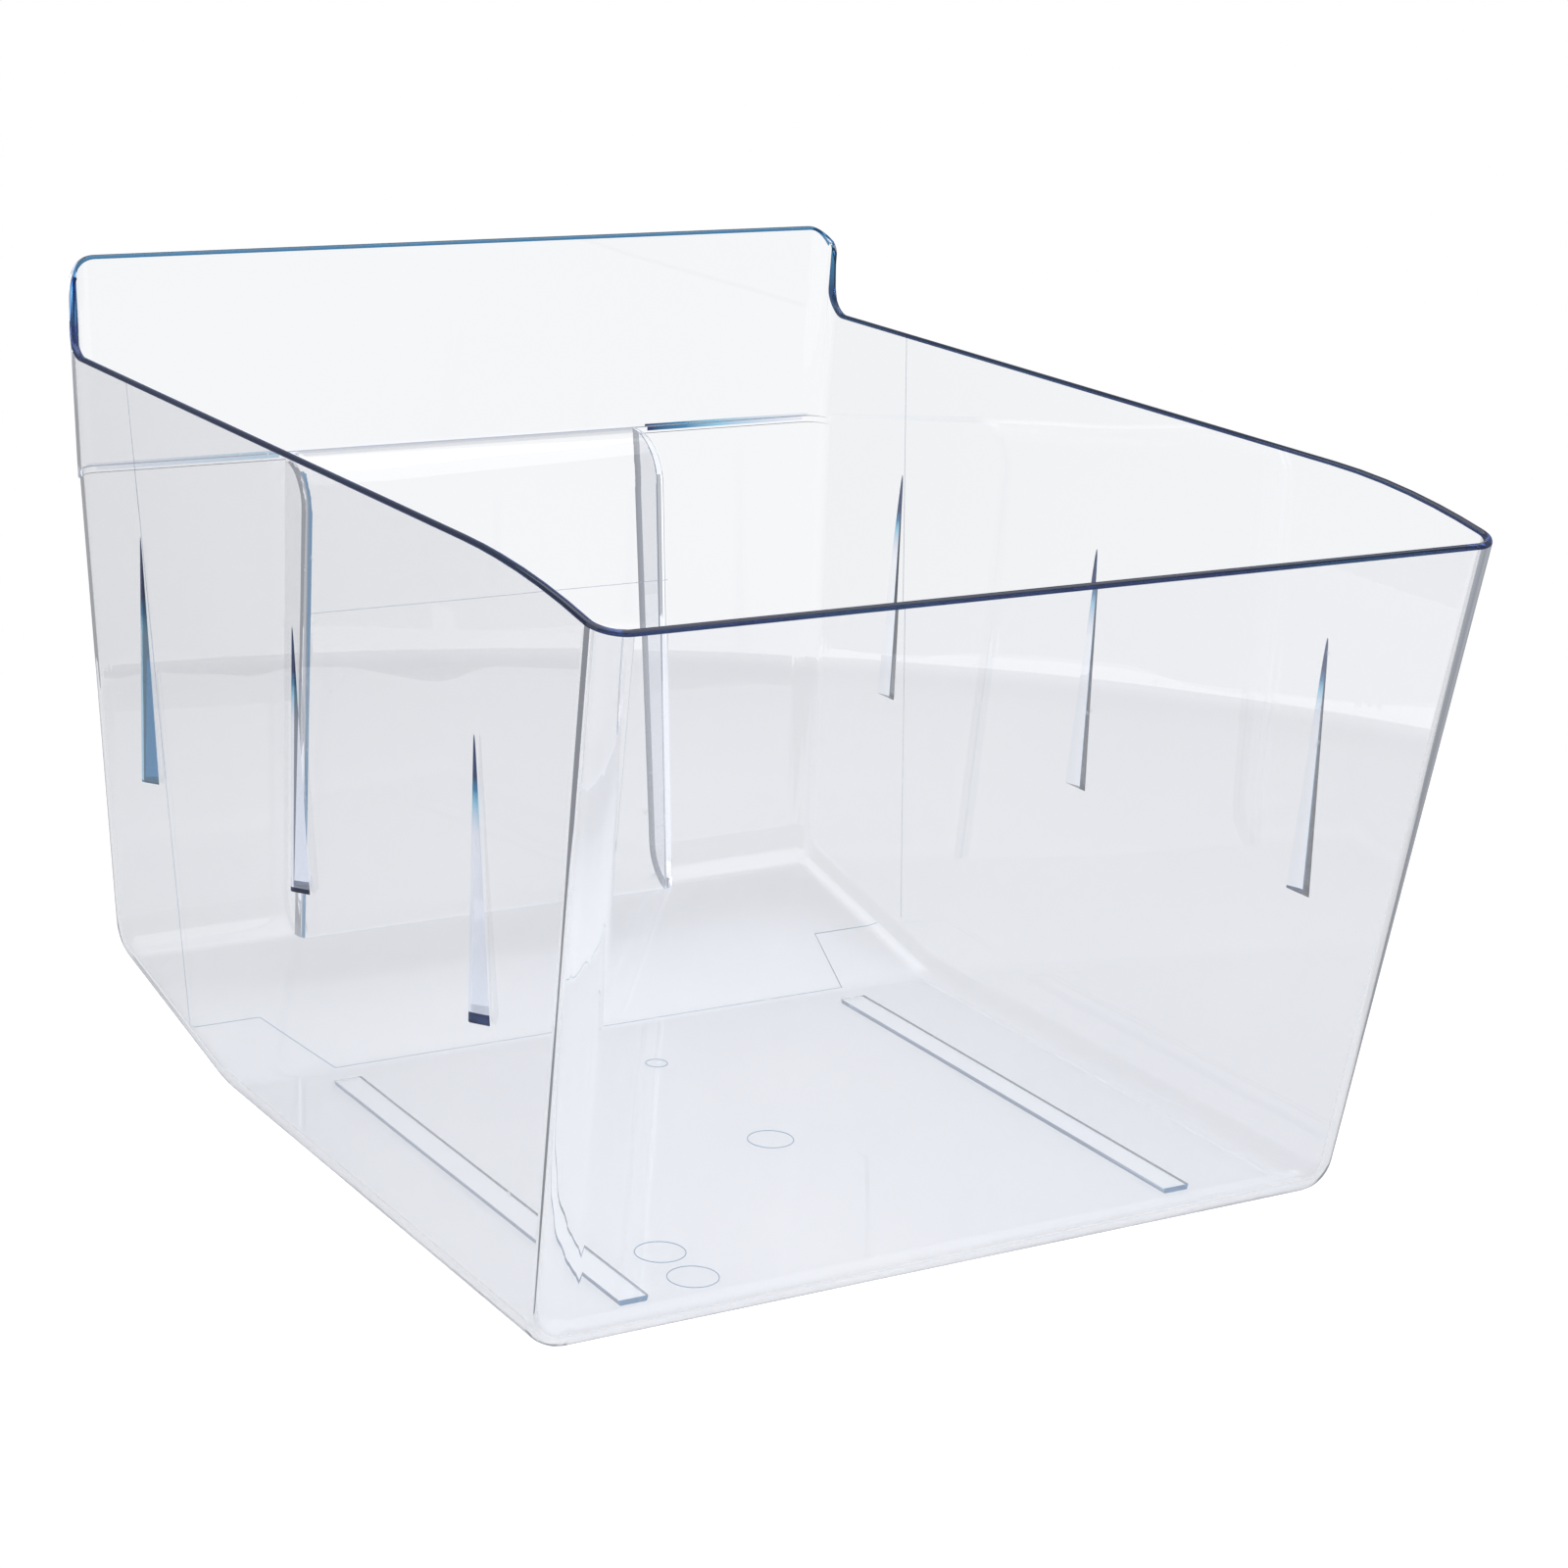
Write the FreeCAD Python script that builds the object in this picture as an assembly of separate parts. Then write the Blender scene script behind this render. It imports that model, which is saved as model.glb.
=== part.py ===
import FreeCAD, Part
import math
import os

from FreeCAD import Vector

# Clear moulded crisper drawer of a refrigerator: one thin-walled tub with a tall back wall, three stacking
# ribs on each side, a centre panel pushed in at the back and two skids under the floor.
#
# Frame: X is the width, -Y the low front, +Y the tall back, +Z up; the skids stand on Z = 0.
# The tub is the same solid built twice, at its outer face and one wall thickness inside it, and subtracted.

# Driving sizes in millimetres, angles in degrees
WALL = 2.2                  # thickness of every wall
RIM_WIDTH = 242.0           # outer width at the side rims
FRONT_TO_BACK = 307.6       # outer depth, front rim to tall back wall
RIM_HEIGHT = 185.3          # top of the straight side rims
FRONT_FALL = 7.4            # how far the front rim lies below the side rims
FRONT_CURVE_LENGTH = 64.0   # depth over which the side rims curve down to the front rim
BACK_RISE = 25.4            # how far the tall back wall stands above the side rims
SIDE_DRAFT = 2.5            # lean of the side walls
FRONT_LEAN = 10.1           # lean of the front wall
BACK_LEAN = 4.3             # lean of the back wall below the ledge
CORNER_RADIUS = 8.0         # outer radius of the upright corners and of the side edges of the floor
FRONT_EDGE_RADIUS = 13.0    # outer radius of the front edge of the floor
RAMP_LENGTH = 76.3          # depth of the rising rear part of the floor
RAMP_ANGLE = 11.6           # rise of that part
RAMP_START_RADIUS = 40.0    # soft bend where the floor starts to rise
RAMP_END_RADIUS = 14.0      # outer radius where it meets the back wall

LEDGE_HEIGHT = 150.0        # from the floor's underside to the ledge where the back wall steps out
LEDGE_STEP = 1.6            # how far it steps out
LEDGE_BEND_RADIUS = 30.0    # bend between the leaning back wall and its upright top
TALL_WALL_RADIUS = 8.0      # upright corners of the tall wall
TALL_WALL_TOP_RADIUS = 8.0  # rounded top corners of the tall wall
TALL_WALL_NARROWING = 1.0   # how far each end of its top lies inside the side rims
TALL_WALL_RETURN = 5.8      # how far the ends of the tall wall wrap round towards the front
RIM_SWEEP_RADIUS = 7.0      # hollow curve from the side rims up to the tall wall

PANEL_WIDTH = 112.4         # inside width of the centre panel at its top
PANEL_DEPTH = 16.4          # depth of the hollow behind it, at its top
PANEL_LEAN = 2.5            # lean of its face
PANEL_SIDE_DRAFT = 1.8      # its sides widen downwards
PANEL_TOP_RADIUS = 12.8     # outer roll at its top
PANEL_EDGE_RADIUS = 0.8     # outer radius of its upright edges

RIB_COUNT = 3               # stacking ribs on each side
RIB_PITCH = 98.4
RIB_CENTRE = 4.2            # where the middle rib stands along Y
RIB_STEP = 1.3              # how much lower each rib sits than the one behind it
RIB_TOP = 141.5             # top of the middle rib, from the floor's underside
RIB_HEIGHT = 66.7
RIB_FLANK_ANGLE = 55.0      # between a rib's flanks and its middle plane
RIB_CREST_RADIUS = 1.5

SKID_HEIGHT = 1.4
SKID_WIDTH = 8.4
SKID_SPACING = 157.0
SKID_LENGTH = 156.0
SKID_FRONT_INSET = 22.4     # from the front edge of the floor to the skids
SKID_SIDE_ANGLE = 15.0      # lean of the skids' flanks

# Derived places
FLOOR = SKID_HEIGHT
LEDGE = FLOOR + LEDGE_HEIGHT
TOP = RIM_HEIGHT + BACK_RISE
FRONT_RIM = -FRONT_TO_BACK / 2
BACK = FRONT_TO_BACK / 2
UPRIGHT_BACK = BACK - LEDGE_STEP
FRONT_RIM_HEIGHT = RIM_HEIGHT - FRONT_FALL
FRONT_FOOT = FRONT_RIM + (FRONT_RIM_HEIGHT - FLOOR) * math.tan(math.radians(FRONT_LEAN))
BACK_FOOT = UPRIGHT_BACK - LEDGE_HEIGHT * math.tan(math.radians(BACK_LEAN))
RAMP_START = BACK_FOOT - RAMP_LENGTH
REACH = 2 * FRONT_TO_BACK   # past everything, for cutting shapes
DEEP = -FRONT_TO_BACK / 2   # below everything
SIDEWAYS = 0.9              # a face whose normal has at least this much of X looks left or right


def half_width(height):
    """Outer half width of the tub at a height above the shelf."""
    return RIM_WIDTH / 2 - (RIM_HEIGHT - height) * math.tan(math.radians(SIDE_DRAFT))


def line_through(point, angle, inset):
    """A line at an angle to +Y in the YZ plane, moved to its left by inset: a point and a direction."""
    run = Vector(0, math.cos(math.radians(angle)), math.sin(math.radians(angle)))
    left = Vector(0, -run.z, run.y)
    return Vector(0, *point) + left * inset, run


def meeting(first, second):
    """Where two lines of the YZ plane meet."""
    (a, u), (b, v) = first, second
    cross = u.y * v.z - u.z * v.y
    along = ((b.y - a.y) * v.z - (b.z - a.z) * v.y) / cross
    return a + u * along


def rounded_face(points, radii):
    """A flat face whose outline joins the points, with each corner rounded by its radius."""
    edges = []
    ends = []
    count = len(points)
    for i, (corner, radius) in enumerate(zip(points, radii)):
        to_last = (points[i - 1] - corner).normalize()
        to_next = (points[(i + 1) % count] - corner).normalize()
        half = to_last.getAngle(to_next) / 2
        start = corner + to_last * (radius / math.tan(half))
        end = corner + to_next * (radius / math.tan(half))
        if radius > 0:
            middle = (to_last + to_next).normalize()
            nearest = corner + middle * (radius / math.sin(half) - radius)
            edges.append(Part.Arc(start, nearest, end).toShape())
        ends.append((start, end))
    for i in range(count):
        edges.append(Part.makeLine(ends[i][1], ends[(i + 1) % count][0]))
    return Part.Face(Part.Wire(Part.__sortEdges__(edges)))


def across(face):
    """Extrudes a face of the YZ plane to both sides, past the side walls."""
    return face.translated(Vector(-REACH / 2, 0, 0)).extrude(Vector(REACH, 0, 0))


def between_sides(low, high, bottom_half, top_half):
    """A prism along Y with two leaning sides."""
    outline = [
        Vector(-bottom_half, -REACH / 2, low),
        Vector(bottom_half, -REACH / 2, low),
        Vector(top_half, -REACH / 2, high),
        Vector(-top_half, -REACH / 2, high),
    ]
    return Part.Face(Part.makePolygon(outline + outline[:1])).extrude(Vector(0, REACH, 0))


def side_edges(solid, keep):
    """Edges of the faces that look left or right, where keep says so."""
    edges = []
    for face in solid.Faces:
        if abs(face.normalAt(0, 0).x) > SIDEWAYS and face.Surface.TypeId == "Part::GeomPlane":
            edges += [edge for edge in face.Edges if keep(edge.CenterOfMass)]
    return edges


def tub_sides(inset):
    """Everything between the two leaning side walls."""
    low, high = -WALL, TOP + WALL
    sideways = inset / math.cos(math.radians(SIDE_DRAFT))
    return between_sides(low, high, half_width(low) - sideways, half_width(high) - sideways)


def tub_block(inset):
    """The tub up to its top with its lower back wall, rounded from the front corners round the floor to the back."""
    high = TOP + WALL
    front = line_through((FRONT_FOOT, FLOOR), -90 + FRONT_LEAN, inset)
    floor = line_through((0, FLOOR), 0, inset)
    ramp = line_through((RAMP_START, FLOOR), RAMP_ANGLE, inset)
    back = line_through((BACK_FOOT, FLOOR), 90 - BACK_LEAN, inset)
    upright = line_through((UPRIGHT_BACK, LEDGE), 90, inset)
    top = line_through((0, high), 180, 0)
    lines = [front, floor, ramp, back, upright, top]
    corners = [meeting(lines[i - 1], lines[i]) for i in range(len(lines))]
    radii = [0, FRONT_EDGE_RADIUS, RAMP_START_RADIUS, RAMP_END_RADIUS, LEDGE_BEND_RADIUS, 0]
    profile = rounded_face(corners, [max(radius - inset, 0) for radius in radii])
    block = across(profile).common(tub_sides(inset))
    edges = side_edges(block, lambda middle: middle.z < high - WALL / 2)
    return block.makeFillet(CORNER_RADIUS - inset, edges)


def tall_wall_block(inset):
    """The part of the tub above the ledge, out to the tall back wall."""
    low, high = LEDGE + inset, TOP + WALL
    inner, outer = BACK - PANEL_DEPTH, BACK - inset
    slab = Part.makeBox(REACH, outer - inner, high - low, Vector(-REACH / 2, inner, low))
    slab = slab.common(tub_sides(inset))
    edges = side_edges(slab, lambda middle: abs(middle.y - outer) < WALL / 2)
    return slab.makeFillet(TALL_WALL_RADIUS - inset, edges)


def panel_block(inset):
    """The hollow behind the centre panel; one wall thickness larger, it is the panel seen from inside."""
    top = LEDGE + inset
    face = line_through((BACK - PANEL_DEPTH, LEDGE), 90 - PANEL_LEAN, inset)
    roof = line_through((0, top), 0, 0)
    behind = line_through((REACH / 2, 0), 90, 0)
    below = line_through((0, DEEP), 0, 0)
    corners = [meeting(below, face), meeting(face, roof), meeting(roof, behind), meeting(behind, below)]
    profile = rounded_face(corners, [0, PANEL_TOP_RADIUS + inset, 0, 0])
    half = PANEL_WIDTH / 2 - WALL + inset
    spread = (top - DEEP) * math.tan(math.radians(PANEL_SIDE_DRAFT))
    block = across(profile).common(between_sides(DEEP, top, half + spread, half))
    limit = REACH / 2 - WALL
    edges = side_edges(block, lambda middle: middle.y < limit and middle.z > WALL + DEEP)
    return block.makeFillet(PANEL_EDGE_RADIUS + inset, edges)


def ribs():
    """Stacking ribs: upright ridges with a round crest that grow out of the leaning side walls downwards."""
    flank = math.radians(RIB_FLANK_ANGLE)
    trimmed = RIB_CREST_RADIUS / math.sin(flank) - RIB_CREST_RADIUS
    blocks = []
    for i in range(RIB_COUNT):
        order = i - (RIB_COUNT - 1) / 2
        middle = RIB_CENTRE + order * RIB_PITCH
        high = FLOOR + RIB_TOP + order * RIB_STEP
        low = high - RIB_HEIGHT
        crest = half_width(high) + trimmed
        inside = half_width(low) - WALL
        half = (crest - inside) * math.tan(flank)
        outline = [
            Vector(-crest, middle, low),
            Vector(-inside, middle - half, low),
            Vector(inside, middle - half, low),
            Vector(crest, middle, low),
            Vector(inside, middle + half, low),
            Vector(-inside, middle + half, low),
        ]
        radii = [RIB_CREST_RADIUS, 0, 0, RIB_CREST_RADIUS, 0, 0]
        blocks.append(rounded_face(outline, radii).extrude(Vector(0, 0, RIB_HEIGHT)))
    return blocks


def skids():
    """Two runners under the floor, with leaning flanks."""
    start = FRONT_FOOT + SKID_FRONT_INSET
    high = FLOOR + WALL / 2
    wide = SKID_WIDTH / 2
    narrow = wide - high * math.tan(math.radians(SKID_SIDE_ANGLE))
    blocks = []
    for middle in (-SKID_SPACING / 2, SKID_SPACING / 2):
        outline = [
            Vector(middle - narrow, start, 0),
            Vector(middle + narrow, start, 0),
            Vector(middle + wide, start, high),
            Vector(middle - wide, start, high),
        ]
        face = Part.Face(Part.makePolygon(outline + outline[:1]))
        blocks.append(face.extrude(Vector(0, SKID_LENGTH, 0)))
    return blocks


def filled_tub(inset):
    """The tub as a filled solid, at its outer face or one wall thickness inside it."""
    return tub_block(inset).cut(panel_block(inset)).fuse(tall_wall_block(inset))


def rim_line():
    """Everything below the rim seen from the side: front rim, side rims and tall wall."""
    radius = (FRONT_CURVE_LENGTH ** 2 + FRONT_FALL ** 2) / (2 * FRONT_FALL)
    start = FRONT_RIM + FRONT_CURVE_LENGTH
    half_turn = math.asin(FRONT_CURVE_LENGTH / radius) / 2
    middle = Vector(0, start - radius * math.sin(half_turn), RIM_HEIGHT - radius * (1 - math.cos(half_turn)))
    front = Vector(0, FRONT_RIM, FRONT_RIM_HEIGHT)
    crest = Vector(0, start, RIM_HEIGHT)
    wall = BACK - TALL_WALL_RETURN
    sweep = RIM_SWEEP_RADIUS
    foot = Vector(0, wall - sweep, RIM_HEIGHT)
    short = sweep * (1 - math.cos(math.pi / 4))
    bend = Vector(0, wall - short, RIM_HEIGHT + short)
    rise = Vector(0, wall, RIM_HEIGHT + sweep)
    outline = [
        rise,
        Vector(0, wall, TOP),
        Vector(0, REACH / 2, TOP),
        Vector(0, REACH / 2, DEEP),
        Vector(0, -REACH / 2, DEEP),
        Vector(0, -REACH / 2, FRONT_RIM_HEIGHT),
        front,
    ]
    edges = [Part.makeLine(a, b) for a, b in zip(outline, outline[1:])]
    edges.append(Part.Arc(front, middle, crest).toShape())
    edges.append(Part.makeLine(crest, foot))
    edges.append(Part.Arc(foot, bend, rise).toShape())
    return across(Part.Face(Part.Wire(Part.__sortEdges__(edges))))


def tall_wall_outline():
    """Everything inside the rounded top corners of the tall wall, seen from the front."""
    rim = half_width(RIM_HEIGHT)
    top = rim - TALL_WALL_NARROWING
    corners = [
        Vector(-REACH / 2, 0, DEEP),
        Vector(REACH / 2, 0, DEEP),
        Vector(REACH / 2, 0, RIM_HEIGHT),
        Vector(rim, 0, RIM_HEIGHT),
        Vector(top, 0, TOP),
        Vector(-top, 0, TOP),
        Vector(-rim, 0, RIM_HEIGHT),
        Vector(-REACH / 2, 0, RIM_HEIGHT),
    ]
    round_top = TALL_WALL_TOP_RADIUS
    face = rounded_face(corners, [0, 0, 0, 0, round_top, round_top, 0, 0])
    return face.translated(Vector(0, -REACH / 2, 0)).extrude(Vector(0, REACH, 0))


def drawer_tub():
    """The whole drawer, one moulded piece."""
    outside = filled_tub(0).fuse(ribs() + skids())
    shell = outside.cut(filled_tub(WALL))
    return shell.common(rim_line()).common(tall_wall_outline()).removeSplitter()


os.makedirs("parts", exist_ok=True)
tub = drawer_tub()
box = tub.optimalBoundingBox(False)
print("valid", tub.isValid(), "solids", len(tub.Solids), "volume cm3", round(tub.Volume / 1000, 1))
print("size", round(box.XLength, 2), round(box.YLength, 2), round(box.ZLength, 2), "lowest", round(box.ZMin, 3))
tub.exportStep(os.path.join("parts", "drawer_tub.step"))
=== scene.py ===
import math
import bmesh
import bpy
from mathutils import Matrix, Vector


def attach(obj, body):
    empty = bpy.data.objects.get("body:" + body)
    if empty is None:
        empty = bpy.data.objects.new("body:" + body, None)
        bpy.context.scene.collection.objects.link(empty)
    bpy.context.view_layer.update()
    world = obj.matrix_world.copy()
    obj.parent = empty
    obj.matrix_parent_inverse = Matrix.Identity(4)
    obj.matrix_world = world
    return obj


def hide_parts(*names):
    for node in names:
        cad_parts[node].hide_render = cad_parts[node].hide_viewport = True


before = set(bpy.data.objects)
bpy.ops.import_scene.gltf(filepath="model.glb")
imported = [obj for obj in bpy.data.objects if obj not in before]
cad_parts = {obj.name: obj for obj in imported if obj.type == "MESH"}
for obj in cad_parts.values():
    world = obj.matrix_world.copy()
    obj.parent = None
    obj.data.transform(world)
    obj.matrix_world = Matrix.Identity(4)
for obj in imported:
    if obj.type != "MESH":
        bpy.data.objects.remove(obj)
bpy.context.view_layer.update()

# A clear moulded crisper drawer, standing on a pale round table. Lengths are in metres.

MM = 0.001
CLOSE = 0.001 * MM             # points nearer than this are one point

# The tub's sides, floor and skids
RIM_HEIGHT = 185.3 * MM
RIM_HALF_WIDTH = 121.0 * MM
SIDE_SLOPE = math.tan(math.radians(2.5))
FLOOR_TOP = 3.6 * MM
RAMP_START = 64.6 * MM         # the floor rises behind this
RAMP_SLOPE = math.tan(math.radians(11.6))
SKID_TOP = 1.45 * MM

# The centre panel and the hollow behind it
PANEL_TOP = 151.4 * MM
PANEL_FACE = 135.2 * MM
PANEL_SLOPE = math.tan(math.radians(2.5))
PANEL_HALF_WIDTH = 57 * MM
PANEL_REACH = 58 * MM          # half the width of the panel's top
PANEL_EDGE_REACH = PANEL_REACH + 5 * MM
PANEL_EDGE_FRONT = 110 * MM    # the hollow's upright edges lie farther back than this
PANEL_EDGE_FOOT = 20 * MM
PANEL_ROLL_FRONT = 115 * MM    # the roll at the panel's top lies farther back than this
PANEL_ROLL_FOOT = 138 * MM
PANEL_ROLL_TOP = PANEL_TOP + 1 * MM

# The stacking ribs on the side walls
RIB_PLACES = (-94.2 * MM, 4.2 * MM, 102.6 * MM)
RIB_REACH = 5.4 * MM
RIB_FOOT = 74 * MM
RIB_LOWEST = RIB_FOOT - 2 * MM
RIB_TIP = 146 * MM
RIB_TIP_SHADE_DEPTH = 28 * MM                        # the tip's band of painted shade
RIB_FOOT_SHADE_DEPTH = {-1: 3.4 * MM, 1: 1.6 * MM}   # the foot's band of painted shade, on the left and right wall

# The ledge and the tall wall above it
LEDGE_SPAN = (149 * MM, 156 * MM)
LEDGE_DEPTH = 150 * MM         # the ledge lies farther back than this
LEDGE_END = 112 * MM           # and reaches this far to each side
LEDGE_LINE_TOP = 154.2 * MM    # the line of painted shade along it runs up the tall wall to here
TALL_RIM = 195 * MM            # the rim above this height is the tall wall's

# Which way a face looks: shares of its normal along an axis
FACING = 0.9                   # straight along the axis
DOWNWARD = -0.5                # Z of a rib's foot
UPRIGHT = 0.02                 # Z of a rib's crest
ASIDE = 0.15                   # Y of a rib's flank or of an upright round edge
ROUND_EDGE = (0.2, 0.98)       # X of an upright round edge
ROOF = -0.2                    # Z of the hollow's roof
SKID_SIDE = 0.8                # Z of a skid's sides is less than this
SKID_END = 0.5                 # Y of a skid's ends

# The rim's rounding and the shading of the edges
RIM_ZONE = 170 * MM            # every sharp edge above this height belongs to the rim
RIM_ROUNDING = 1.0 * MM
RIM_STEPS = 4
SHARP_TURN = math.radians(50)
SMOOTH_TURN = math.radians(32)
FLAT_TURN = math.radians(0.3)
FLAT_AREA = 1000 * MM * MM     # a flat patch larger than this is shaded dead flat
RIB_SOFTNESS = 0.85            # how far a rib's flanks are shaded like the wall behind them
ROOF_EASE = Vector((0.0, 0.3, 0.0))   # the hollow's roof is shaded leaning back: light leaves it

# Painted shade: how dark and blue each place is tinted, standing in for the dark edges that
# refraction leaves in clear plastic
PAINTED_SHADE_ATTRIBUTE = "painted_shade"
# the rim's rounded edges get painted shade; less on the tall rim, which the overhead light falls
# on
RIM_PAINTED_SHADE = 0.98
TALL_RIM_PAINTED_SHADE = 0.87
# the ledge and the line along the tall wall's foot get painted shade
LEDGE_PAINTED_SHADE = 0.3
LEDGE_LINE_PAINTED_SHADE = {-1: (0.6, 0.3), 1: (1.0, 0.3)}   # left, right: beside the panel, at the end
# the hollow's rounded upright edges get painted shade
PANEL_EDGE_PAINTED_SHADE = 0.85
# the ribs get painted shade: dark at the foot and tip, pale on the body
RIB_FOOT_PAINTED_SHADE = 1.0
RIB_TIP_PAINTED_SHADE = 1.7             # past 1 the darkest painted shade runs on below the tip
RIB_BODY_PAINTED_SHADE = {-1: 0.28, 1: 0.15}   # on the left and right wall
RIB_FLANK_PAINTED_SHADE = 0.90         # painted shade on a flank that light leaves edgeways
REAR_RIB_PAINTED_SHADE = 0.62           # the whole rear rib of the left wall
# the skids' sides and ends get painted shade
SKID_PAINTED_SHADE = 0.45
SKID_END_PAINTED_SHADE = 0.8
# the mould's fine ridges get painted shade, more on the floor than on the walls
FLOOR_MARK_PAINTED_SHADE = 0.62
WALL_MARK_PAINTED_SHADE = 0.3

# The plastic
PLASTIC_IOR = 1.57
PAINTED_SHADE_STEPS = (                 # how much painted shade, and the tint it gives; none leaves the plastic's own faint tint
    (0.0, (0.972, 0.973, 0.977)),
    (0.35, (0.67, 0.72, 0.84)),
    (0.7, (0.10, 0.36, 0.60)),
    (0.85, (0.004, 0.06, 0.20)),
    (1.0, (0.001, 0.003, 0.022)),
)
CLOUD_NOISE = (11.0, 1.0)      # scale and detail of the uneven tint
CLOUD_SHARE = 0.04             # the tint is uneven by this much
RUB_NOISE = (260.0, 2.0)       # scale and detail of the rubbed spots
RUB_RANGE = (0.66, 0.80)       # where in that noise a spot starts and is fully rubbed
RUB_ROUGHNESS = 0.12
RIPPLE_NOISE = (18.0, 0.0)     # scale and detail of the flow ripples
RIPPLE_HEIGHT = 0.20 * MM
CAST_DEPTH = 8.0               # absorption per metre
CAST_COLOUR = (0.55, 0.68, 0.90, 1.0)
GUIDED_COLOUR = (0.76, 0.79, 0.86, 1.0)
GUIDED_STRENGTH = 20.0         # light that runs along inside the walls, per metre
SHADOW_TINT = (0.927, 0.927, 0.929, 1.0)

# The mould's marks: hair-fine ridges
MARK_RADIUS = 0.11 * MM
MARK_SINK = 0.04 * MM
FLOOR_MARK_TOP = 12 * MM       # the marks below this height are on the floor
SIDE_MARK = ((107 * MM, 184.6 * MM), (83.9 * MM, 14.0 * MM))   # Y and Z of its ends
FLOOR_MARK = (                 # X and Y of its corners, in millimetres
    (-110, 93), (-88, 93), (-79, 62.8), (79, 62.8), (88, 93), (110, 93),
)
PANEL_MARK_HEIGHT = 111 * MM
RINGS = (                      # X, Y and radius
    (0.0, 31 * MM, 3.0 * MM),
    (0.0, -30 * MM, 6.0 * MM),
    (-61 * MM, -81 * MM, 6.2 * MM),
    (-61 * MM, -97 * MM, 6.2 * MM),
)
RING_STEPS = 48

# The room
TABLE_RADIUS = 0.50
TABLE_STEPS = 128
TABLE_GAP = 0.3 * MM
TABLE_COLOUR = (0.80, 0.80, 0.80)
TABLE_MIRRORED = (0.45, 0.45, 0.45)   # as the plastic reflects it
TABLE_SEEN_GLOW = 0.45         # what the eye sees of the table directly comes out white
TABLE_GLASS_GLOW = (           # how far out, and how much lighter glass shows the table there
    (0.0, 0.13),
    (0.6, 0.24),
    (0.88, 0.235),
    (0.95, 0.215),
    (1.0, 0.29),
)
WHITE = (1.0, 1.0, 1.0, 1.0)
ROOM_COLOUR = (0.97, 0.97, 1.0, 1.0)
ROOM_STRENGTH = 0.28
ROOM_SHEEN = 0.03              # how much of the white backdrop shows in reflections
UNMIRRORED = 0.5               # fewer mirrorings than this is none
LAMPS = (                      # name, place, width and height, watts
    ("overhead_softbox", (0.1, 0.2, 1.6), (2.4, 2.0), 17),
    ("left_softbox", (-1.5, 0.2, 0.8), (1.2, 1.6), 4),
)
LAMP_TARGET = (0, 0, 0.1)

# The camera
CAMERA_PLACE = (-0.46628, -0.79034, 0.35955)
CAMERA_TURN = (73.720, -2.338, -30.921)
CAMERA_LENS = 84.633
CAMERA_SENSOR = 36.0
CAMERA_SHIFT = (-0.0030, -0.0003)
CAMERA_NEAR = 10 * MM


def add_object(name, data):
    piece = bpy.data.objects.new(name, data)
    bpy.context.scene.collection.objects.link(piece)
    return piece


def side_of(place):
    """-1 on the left, 1 on the right."""
    return 1 if place.x > 0 else -1


def held(share):
    """A share held between 0 and 1."""
    return min(max(share, 0.0), 1.0)


def rim_edges(bm):
    """The two sharp edges all along the rim."""
    return [
        edge
        for edge in bm.edges
        if edge.calc_face_angle(0.0) > SHARP_TURN and min(v.co.z for v in edge.verts) > RIM_ZONE
    ]


def spread_from(start, may_cross):
    """The faces reached from one face over the edges that may be crossed."""
    reached, front = {start}, [start]
    while front:
        face = front.pop()
        for edge in face.edges:
            for other in edge.link_faces:
                if other not in reached and may_cross(edge, other):
                    reached.add(other)
                    front.append(other)
    return reached


def rim_strip(edges):
    """The faces between the rim's two edges."""
    fence = set(edges)
    beside = (face for edge in edges for face in edge.link_faces)
    start = next(face for face in beside if abs(face.normal.z) > FACING)
    return spread_from(start, lambda edge, face: edge not in fence)


def on_rib(face):
    """True for the flanks, crest and foot of a stacking rib."""
    middle, normal = face.calc_center_median(), face.normal
    near = min(abs(middle.y - place) for place in RIB_PLACES) < RIB_REACH
    level = RIB_LOWEST < middle.z < RIB_TIP
    foot = normal.z < DOWNWARD
    outside = normal.x * middle.x > 0 or foot
    turned = abs(normal.y) > ASIDE or foot or abs(normal.z) < UPRIGHT
    return near and level and outside and turned


def on_flank(face):
    """True for a rib without its foot."""
    return on_rib(face) and face.normal.z > DOWNWARD


def rib_painted_shade(face, place):
    """Painted shade, dark at the tip and the foot, pale between.

    One flank of each rib gets darker painted shade on the right wall, and the whole rear rib on
    the left one.
    """
    middle = face.calc_center_median()
    side = side_of(middle)
    if face.normal.z < DOWNWARD or middle.z < RIB_FOOT + RIB_FOOT_SHADE_DEPTH[side]:
        return RIB_FOOT_PAINTED_SHADE
    tip = held(1.0 - (RIB_TIP - place.z) / RIB_TIP_SHADE_DEPTH)
    blue = RIB_BODY_PAINTED_SHADE[side] * (1.0 - tip) + RIB_TIP_PAINTED_SHADE * tip
    if side > 0 and face.normal.y < -ASIDE:
        return max(blue, RIB_FLANK_PAINTED_SHADE)
    if side < 0 and middle.y > RIB_PLACES[1] + RIB_REACH:
        return max(blue, RIB_FLANK_PAINTED_SHADE if face.normal.y > ASIDE else REAR_RIB_PAINTED_SHADE)
    return blue


def on_ledge(face):
    """True for the step in the back wall and for the top of the panel."""
    middle = face.calc_center_median()
    level = LEDGE_SPAN[0] < middle.z < LEDGE_SPAN[1]
    return abs(face.normal.z) > FACING and level and middle.y > LEDGE_DEPTH


def on_tall_wall(face):
    """True for the inner face of the tall wall."""
    return face.normal.y < -FACING and face.calc_center_median().y > LEDGE_DEPTH


def on_tall_foot(face):
    """True for the foot of the tall wall, just above the ledge."""
    return on_tall_wall(face) and face.calc_center_median().z < LEDGE_LINE_TOP


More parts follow.
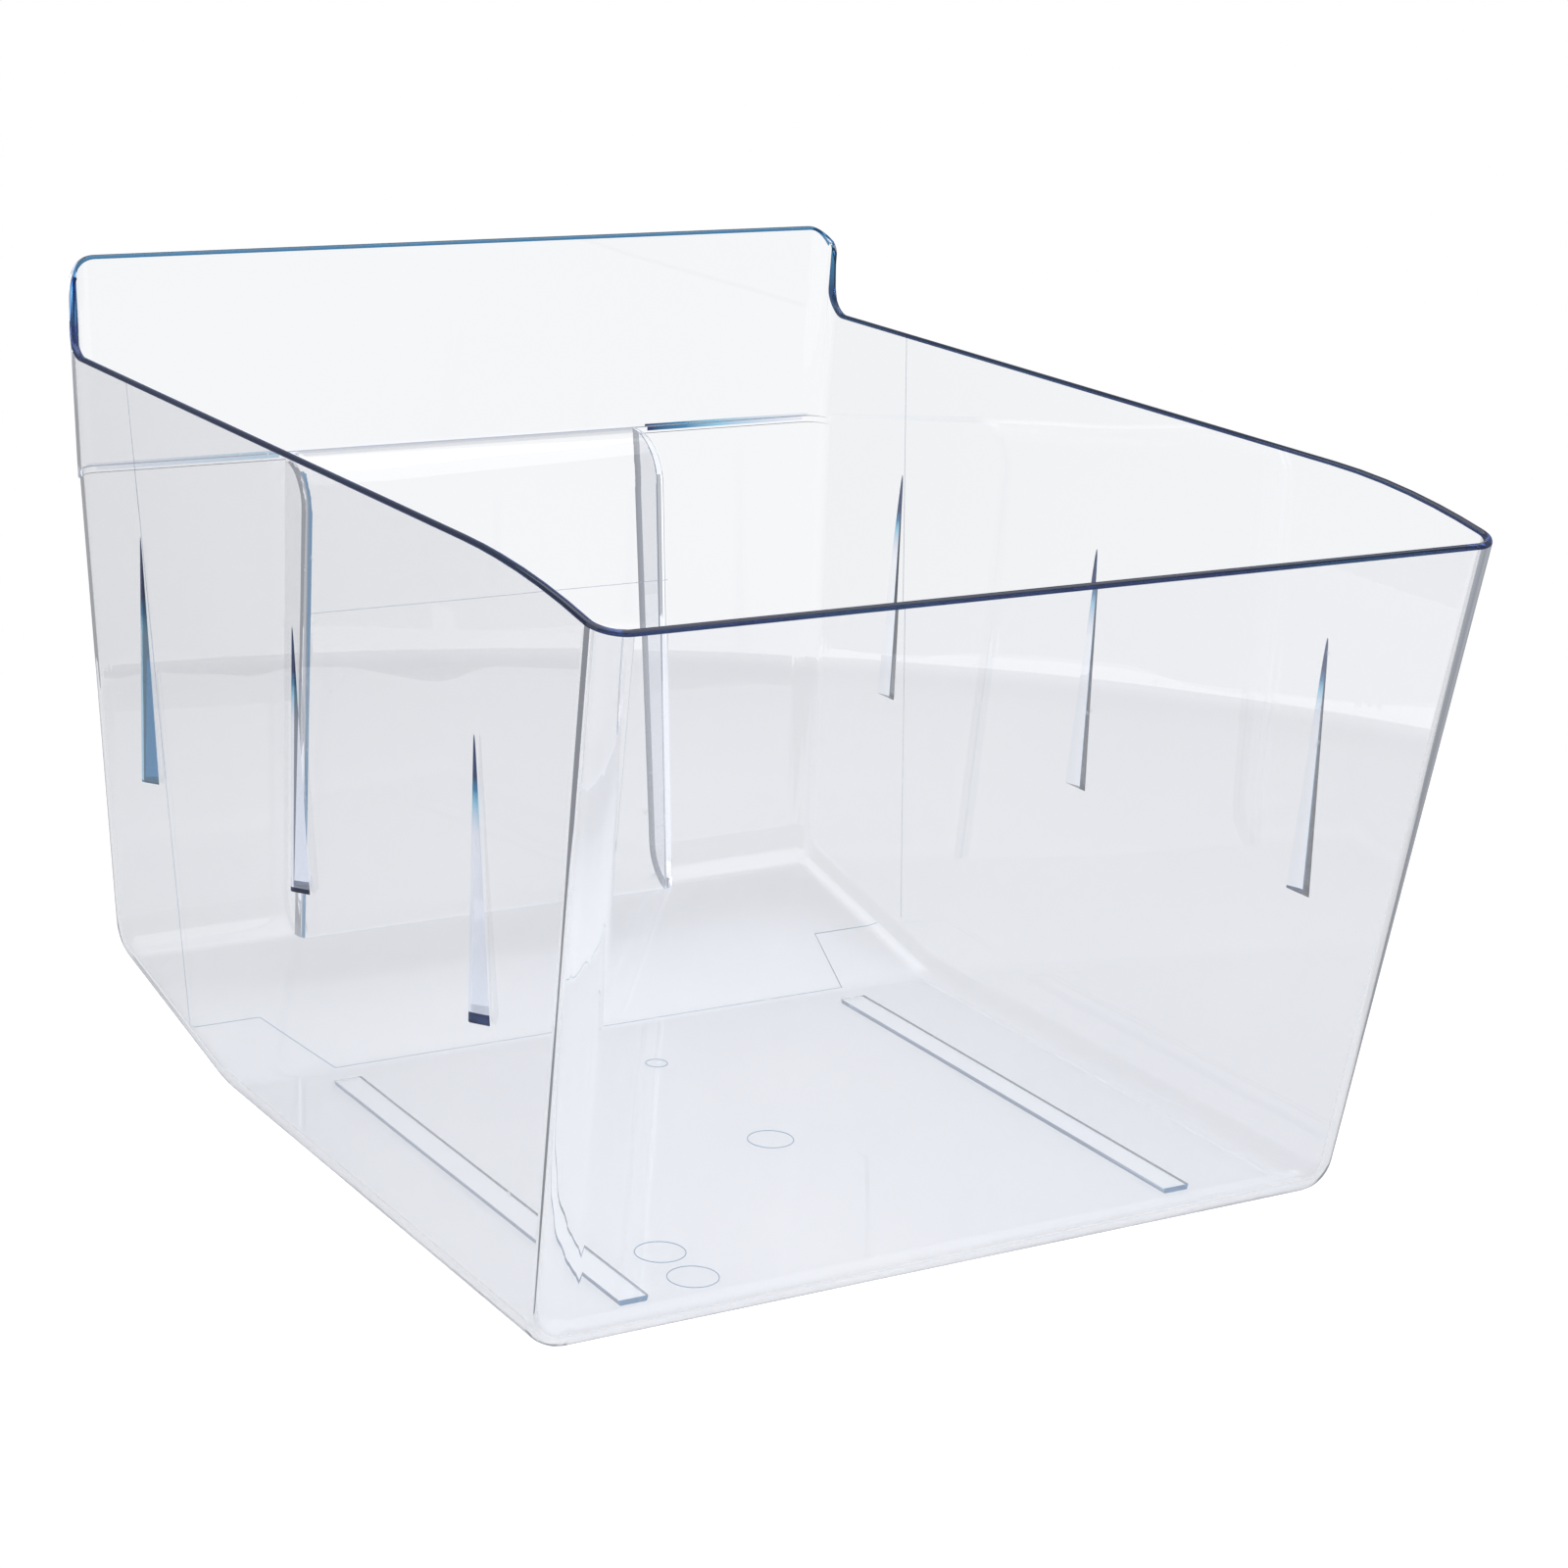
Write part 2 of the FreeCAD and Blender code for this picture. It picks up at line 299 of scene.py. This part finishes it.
def on_ledge_line(face):
    """True for the foot of the tall wall beside the panel."""
    return on_tall_foot(face) and abs(face.calc_center_median().x) > PANEL_REACH


def ledge_line_painted_shade(place):
    """Painted shade, darkest beside the panel, paler towards the ends."""
    beside, end = LEDGE_LINE_PAINTED_SHADE[side_of(place)]
    share = held((abs(place.x) - PANEL_REACH) / (LEDGE_END - PANEL_REACH))
    return beside + (end - beside) * share


def on_panel_edge(face):
    """True for the rounded upright edges of the hollow behind the panel."""
    middle, normal = face.calc_center_median(), face.normal
    near = abs(middle.x) < PANEL_EDGE_REACH and middle.y > PANEL_EDGE_FRONT
    level = PANEL_EDGE_FOOT < middle.z < LEDGE_SPAN[0]
    turned = ROUND_EDGE[0] < abs(normal.x) < ROUND_EDGE[1] and normal.y > ASIDE
    return near and level and turned


def on_panel_roof(face):
    """True for the roof of the hollow behind the panel, with its roll."""
    middle = face.calc_center_median()
    inside = abs(middle.x) < PANEL_HALF_WIDTH and middle.y > PANEL_ROLL_FRONT
    return inside and PANEL_ROLL_FOOT < middle.z < PANEL_ROLL_TOP and face.normal.z < ROOF


def on_skid(face):
    """True for the sides and ends of the skids."""
    return face.calc_center_median().z < SKID_TOP and abs(face.normal.z) < SKID_SIDE


def painted_shade(face, place, rim):
    """How much painted shade, tinted towards blue, a face gets at one of its corners."""
    if face in rim:
        return TALL_RIM_PAINTED_SHADE if place.z > TALL_RIM else RIM_PAINTED_SHADE
    if on_rib(face):
        return rib_painted_shade(face, place)
    if on_ledge(face):
        return LEDGE_PAINTED_SHADE
    if on_ledge_line(face):
        return ledge_line_painted_shade(place)
    if on_panel_edge(face):
        return PANEL_EDGE_PAINTED_SHADE
    if on_skid(face):
        return SKID_END_PAINTED_SHADE if abs(face.normal.y) > SKID_END else SKID_PAINTED_SHADE
    return 0.0


def side_normal(face):
    """The outward normal of the side wall that a face stands on."""
    return Vector((math.copysign(1.0, face.normal.x), 0.0, -SIDE_SLOPE)).normalized()


def flat_patches(bm):
    """The area of the flat patch that each face belongs to."""
    areas = {}
    for start in bm.faces:
        if start not in areas:
            patch = spread_from(
                start,
                lambda edge, face: face.normal.angle(start.normal, 0.0) < FLAT_TURN,
            )
            total = sum(face.calc_area() for face in patch)
            areas.update((face, total) for face in patch)
    return areas


def blended_normal(corner, faces):
    """The normals of the faces round a corner, weighed by their angles there."""
    normal = Vector()
    for face in faces:
        turn = next(c for c in face.loops if c.vert == corner.vert).calc_angle()
        normal += face.normal * turn
    return normal.normalized()


def corner_normals(bm):
    """A normal for each corner of each face.

    Flat walls stay dead flat, and round edges run smoothly into them.
    """
    areas = flat_patches(bm)
    normals = []
    for face in bm.faces:
        for corner in face.loops:
            near = [
                other
                for other in corner.vert.link_faces
                if other.normal.angle(face.normal, math.pi) < SMOOTH_TURN
            ]
            widest = face if areas[face] > FLAT_AREA else max(near, key=areas.get)
            if areas[widest] > FLAT_AREA:
                normal = widest.normal.copy()
            else:
                normal = blended_normal(corner, near)
            if on_flank(face):
                normal = normal.lerp(side_normal(face), RIB_SOFTNESS).normalized()
            elif on_panel_roof(face):
                normal = (normal + ROOF_EASE).normalized()
            normals.append(normal)
    return normals


def keep_painted_shade(mesh, shares):
    """Stores how much painted shade each corner gets, for the plastic to read."""
    mesh.attributes.new(PAINTED_SHADE_ATTRIBUTE, "FLOAT", "CORNER").data.foreach_set("value", shares)


def cut_along(bm, faces, place, normal):
    """Cuts the given faces along a plane."""
    parts = dict.fromkeys(faces)
    for face in faces:
        parts.update(dict.fromkeys(face.edges))
        parts.update(dict.fromkeys(face.verts))
    bmesh.ops.bisect_plane(bm, geom=list(parts), dist=CLOSE, plane_co=place, plane_no=normal)
    bm.normal_update()


def cut_ribs(bm):
    """Cuts the flanks of each rib above the foot and below the tip, so that both can carry darker
    painted shade.
    """
    for side, depth in RIB_FOOT_SHADE_DEPTH.items():
        for height in (RIB_FOOT + depth, RIB_TIP - RIB_TIP_SHADE_DEPTH):
            flanks = [face for face in bm.faces if on_flank(face) and face.normal.x * side > 0]
            cut_along(bm, flanks, (0, 0, height), (0, 0, 1))


def cut_ledge(bm, rim):
    """Cuts the tall wall above the ledge and beside the panel, so that its foot can carry darker
    painted shade.
    """
    tall = [face for face in bm.faces if on_tall_wall(face) and face not in rim]
    cut_along(bm, tall, (0, 0, LEDGE_LINE_TOP), (0, 0, 1))
    for side in (-1, 1):
        foot = [face for face in bm.faces if on_tall_foot(face)]
        cut_along(bm, foot, (side * PANEL_REACH, 0, 0), (1, 0, 0))


def tub_mesh():
    """The moulded tub with its rim rounded over."""
    bm = bmesh.new()
    bm.from_mesh(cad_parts["drawer_tub"].data)
    bmesh.ops.remove_doubles(bm, verts=bm.verts, dist=CLOSE)
    bm.normal_update()
    edges = rim_edges(bm)
    for face in bm.faces:
        face.material_index = 0
    for face in rim_strip(edges):
        face.material_index = 1    # so that the strip is found again after the rounding
    rounded = bmesh.ops.bevel(
        bm,
        geom=edges,
        offset=RIM_ROUNDING,
        offset_type="OFFSET",
        affect="EDGES",
        segments=RIM_STEPS,
        profile=0.5,
        material=-1,
    )
    bm.normal_update()
    rim = set(rounded["faces"]) | {face for face in bm.faces if face.material_index == 1}
    cut_ribs(bm)
    cut_ledge(bm, rim)
    for face in bm.faces:
        face.material_index = 0
        face.smooth = True
    normals = corner_normals(bm)
    painted_shades = [
        painted_shade(face, corner.vert.co, rim) for face in bm.faces for corner in face.loops
    ]
    mesh = bpy.data.meshes.new("clear_tub")
    bm.to_mesh(mesh)
    bm.free()
    mesh.normals_split_custom_set(normals)
    keep_painted_shade(mesh, painted_shades)
    return mesh


def side_half_width(height):
    return RIM_HALF_WIDTH - (RIM_HEIGHT - height) * SIDE_SLOPE


def floor_height(y):
    """Height of the tub's floor, which rises towards the back."""
    return FLOOR_TOP + max(y - RAMP_START, 0.0) * RAMP_SLOPE


def ring(x, y, radius):
    """The points of a ring on the floor."""
    turns = [2 * math.pi * i / RING_STEPS for i in range(RING_STEPS)]
    height = FLOOR_TOP + MARK_SINK
    return [(x + radius * math.cos(t), y + radius * math.sin(t), height) for t in turns]


def mark_lines():
    """Each hair-fine line of the mould, as points and whether it closes."""
    lines = []
    for side in (-1, 1):
        ends = [(side * (side_half_width(z) + MARK_SINK), y, z) for y, z in SIDE_MARK]
        lines.append((ends, False))
    floor = [(x * MM, y * MM, floor_height(y * MM) + MARK_SINK) for x, y in FLOOR_MARK]
    lines.append((floor, False))
    face = PANEL_FACE - (PANEL_TOP - PANEL_MARK_HEIGHT) * PANEL_SLOPE - MARK_SINK
    across = [(side * PANEL_HALF_WIDTH, face, PANEL_MARK_HEIGHT) for side in (-1, 1)]
    lines.append((across, False))
    lines.extend((ring(*place), True) for place in RINGS)
    return lines


def mark_mesh():
    """The mould's witness lines and rings, as one mesh of fine round ridges."""
    curve = bpy.data.curves.new("mould_marks", "CURVE")
    curve.dimensions = "3D"
    curve.bevel_depth = MARK_RADIUS
    curve.bevel_resolution = 1
    curve.use_fill_caps = True
    for points, closed in mark_lines():
        line = curve.splines.new("POLY")
        line.points.add(len(points) - 1)
        for point, place in zip(line.points, points):
            point.co = (*place, 1.0)
        line.use_cyclic_u = closed
    holder = add_object("mould_marks_curve", curve)
    mesh = bpy.data.meshes.new_from_object(holder)
    bpy.data.objects.remove(holder)
    mesh.name = "mould_marks"
    mesh.shade_smooth()
    heights = [mesh.vertices[corner.vertex_index].co.z for corner in mesh.loops]
    # painted shade on the fine ridges, darker on the floor than on the walls
    keep_painted_shade(mesh, [FLOOR_MARK_PAINTED_SHADE if z < FLOOR_MARK_TOP else WALL_MARK_PAINTED_SHADE for z in heights])
    return mesh


def feed(tree, node, *sources):
    """Gives a node's inputs, in order, a link or a plain value each."""
    for socket, source in zip(node.inputs, sources):
        if isinstance(source, bpy.types.NodeSocket):
            tree.links.new(source, socket)
        else:
            socket.default_value = source
    return node.outputs[0]


def math_node(tree, operation, *sources):
    node = tree.nodes.new("ShaderNodeMath")
    node.operation = operation
    return feed(tree, node, *sources)


def shader_node(tree, kind, *sources):
    return feed(tree, tree.nodes.new(kind), *sources)


def ramp_node(tree, steps, blend, share):
    """A colour ramp through the given places and colours."""
    node = tree.nodes.new("ShaderNodeValToRGB")
    node.color_ramp.interpolation = blend
    stops = node.color_ramp.elements
    while len(stops) < len(steps):
        stops.new(0.5)
    for stop, (spot, colour) in zip(stops, steps):
        stop.position = spot
        stop.color = (*colour, 1.0)
    return feed(tree, node, share)


def noise_node(tree, place, noise):
    node = tree.nodes.new("ShaderNodeTexNoise")
    scale, detail = noise
    node.inputs["Scale"].default_value = scale
    node.inputs["Detail"].default_value = detail
    tree.links.new(place, node.inputs["Vector"])
    return node.outputs[0]


def clear_plastic():
    """Clear styrene: an uneven tint, painted shade that deepens to blue, slow flow ripples and
    rubbed spots.
    """
    material = bpy.data.materials.new("clear_plastic")
    material.use_nodes = True
    tree = material.node_tree
    nodes, links = tree.nodes, tree.links
    body = nodes["Principled BSDF"]
    output = nodes["Material Output"]
    body.inputs["IOR"].default_value = PLASTIC_IOR
    body.inputs["Transmission Weight"].default_value = 1.0
    place = nodes.new("ShaderNodeTexCoord").outputs["Object"]

    # painted shade: the stored share darkens the tint through the ramp towards navy
    shade_attribute = nodes.new("ShaderNodeAttribute")
    shade_attribute.attribute_name = PAINTED_SHADE_ATTRIBUTE
    cloud = noise_node(tree, place, CLOUD_NOISE)
    uneven = math_node(tree, "MULTIPLY_ADD", cloud, CLOUD_SHARE, shade_attribute.outputs["Fac"])
    links.new(ramp_node(tree, PAINTED_SHADE_STEPS, "LINEAR", uneven), body.inputs["Base Color"])

    worn = nodes.new("ShaderNodeMapRange")
    worn.inputs["From Min"].default_value, worn.inputs["From Max"].default_value = RUB_RANGE
    worn.inputs["To Min"].default_value = 0.0
    worn.inputs["To Max"].default_value = RUB_ROUGHNESS
    links.new(noise_node(tree, place, RUB_NOISE), worn.inputs["Value"])
    links.new(worn.outputs["Result"], body.inputs["Roughness"])

    bump = nodes.new("ShaderNodeBump")
    bump.inputs["Distance"].default_value = RIPPLE_HEIGHT
    links.new(noise_node(tree, place, RIPPLE_NOISE), bump.inputs["Height"])
    links.new(bump.outputs["Normal"], body.inputs["Normal"])

    cast = shader_node(tree, "ShaderNodeVolumeAbsorption", CAST_COLOUR, CAST_DEPTH)
    guided = shader_node(tree, "ShaderNodeEmission", GUIDED_COLOUR, GUIDED_STRENGTH)
    inside = shader_node(tree, "ShaderNodeAddShader", cast, guided)
    links.new(inside, output.inputs["Volume"])

    shadow = nodes.new("ShaderNodeLightPath").outputs["Is Shadow Ray"]
    through = shader_node(tree, "ShaderNodeBsdfTransparent", SHADOW_TINT)
    surface = shader_node(tree, "ShaderNodeMixShader", shadow, body.outputs[0], through)
    links.new(surface, output.inputs["Surface"])
    return material


def table_finish():
    """A pale table that reads white to the eye and keeps the tub's shadow.

    Its far edge shows softly through glass.
    """
    material = bpy.data.materials.new("pale_table")
    material.use_nodes = True
    tree = material.node_tree
    nodes = tree.nodes
    nodes.remove(nodes["Principled BSDF"])
    ray = nodes.new("ShaderNodeLightPath").outputs
    glass = ray["Is Transmission Ray"]

    mirrored = math_node(tree, "SUBTRACT", ray["Is Glossy Ray"], glass)
    shades = ((0.0, TABLE_COLOUR), (1.0, TABLE_MIRRORED))
    paint = shader_node(
        tree, "ShaderNodeBsdfDiffuse", ramp_node(tree, shades, "LINEAR", mirrored)
    )

    far = nodes.new("ShaderNodeVectorMath")
    far.operation = "LENGTH"
    feed(tree, far, nodes.new("ShaderNodeTexCoord").outputs["Object"])
    share = math_node(tree, "DIVIDE", far.outputs["Value"], TABLE_RADIUS)
    levels = [(spot, (level,) * 3) for spot, level in TABLE_GLASS_GLOW]
    through = math_node(tree, "MULTIPLY", glass, ramp_node(tree, levels, "EASE", share))
    seen = math_node(tree, "MULTIPLY_ADD", ray["Is Camera Ray"], TABLE_SEEN_GLOW, through)
    glow = shader_node(tree, "ShaderNodeEmission", WHITE, seen)

    total = shader_node(tree, "ShaderNodeAddShader", paint, glow)
    tree.links.new(total, nodes["Material Output"].inputs["Surface"])
    return material


def table():
    bm = bmesh.new()
    bmesh.ops.create_circle(bm, cap_ends=True, segments=TABLE_STEPS, radius=TABLE_RADIUS)
    bmesh.ops.translate(bm, verts=bm.verts, vec=(0, 0, -TABLE_GAP))
    mesh = bpy.data.meshes.new("round_table")
    bm.to_mesh(mesh)
    bm.free()
    mesh.materials.append(table_finish())
    add_object("round_table", mesh)


def room_light():
    """White backdrop for the eye and through glass, and a plain soft light for everything else."""
    world = bpy.data.worlds.new("studio")
    bpy.context.scene.world = world
    world.use_nodes = True
    tree = world.node_tree
    nodes = tree.nodes
    soft = feed(tree, nodes["Background"], ROOM_COLOUR, ROOM_STRENGTH)
    white = shader_node(tree, "ShaderNodeBackground", WHITE, 1.0)
    ray = nodes.new("ShaderNodeLightPath").outputs
    straight = math_node(tree, "LESS_THAN", ray["Glossy Depth"], UNMIRRORED)
    through = math_node(tree, "MULTIPLY", ray["Is Transmission Ray"], straight)
    seen = math_node(tree, "MAXIMUM", ray["Is Camera Ray"], through)
    sheen = math_node(tree, "MULTIPLY", ray["Is Glossy Ray"], ROOM_SHEEN)
    either = math_node(tree, "MAXIMUM", seen, sheen)
    surface = shader_node(tree, "ShaderNodeMixShader", either, soft, white)
    tree.links.new(surface, nodes["World Output"].inputs["Surface"])


def lamp(name, place, size, power):
    light = bpy.data.lights.new(name, "AREA")
    light.shape = "RECTANGLE"
    light.size, light.size_y = size
    light.energy = power
    piece = add_object(name, light)
    piece.location = place
    aim = Vector(LAMP_TARGET) - Vector(place)
    piece.rotation_euler = aim.to_track_quat("-Z", "Y").to_euler()


def camera():
    lens = bpy.data.cameras.new("camera")
    lens.sensor_width = CAMERA_SENSOR
    lens.lens = CAMERA_LENS
    lens.shift_x, lens.shift_y = CAMERA_SHIFT
    lens.clip_start = CAMERA_NEAR
    piece = add_object("camera", lens)
    piece.location = CAMERA_PLACE
    piece.rotation_euler = [math.radians(turn) for turn in CAMERA_TURN]
    bpy.context.scene.camera = piece


bpy.context.scene.view_settings.view_transform = "Standard"

plastic = clear_plastic()

tub = add_object("clear_tub", tub_mesh())
tub.data.materials.append(plastic)
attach(tub, "root")
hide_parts("drawer_tub")

marks = add_object("mould_marks", mark_mesh())
marks.data.materials.append(plastic)
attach(marks, "root")

table()
room_light()
for name, place, size, power in LAMPS:
    lamp(name, place, size, power)
camera()
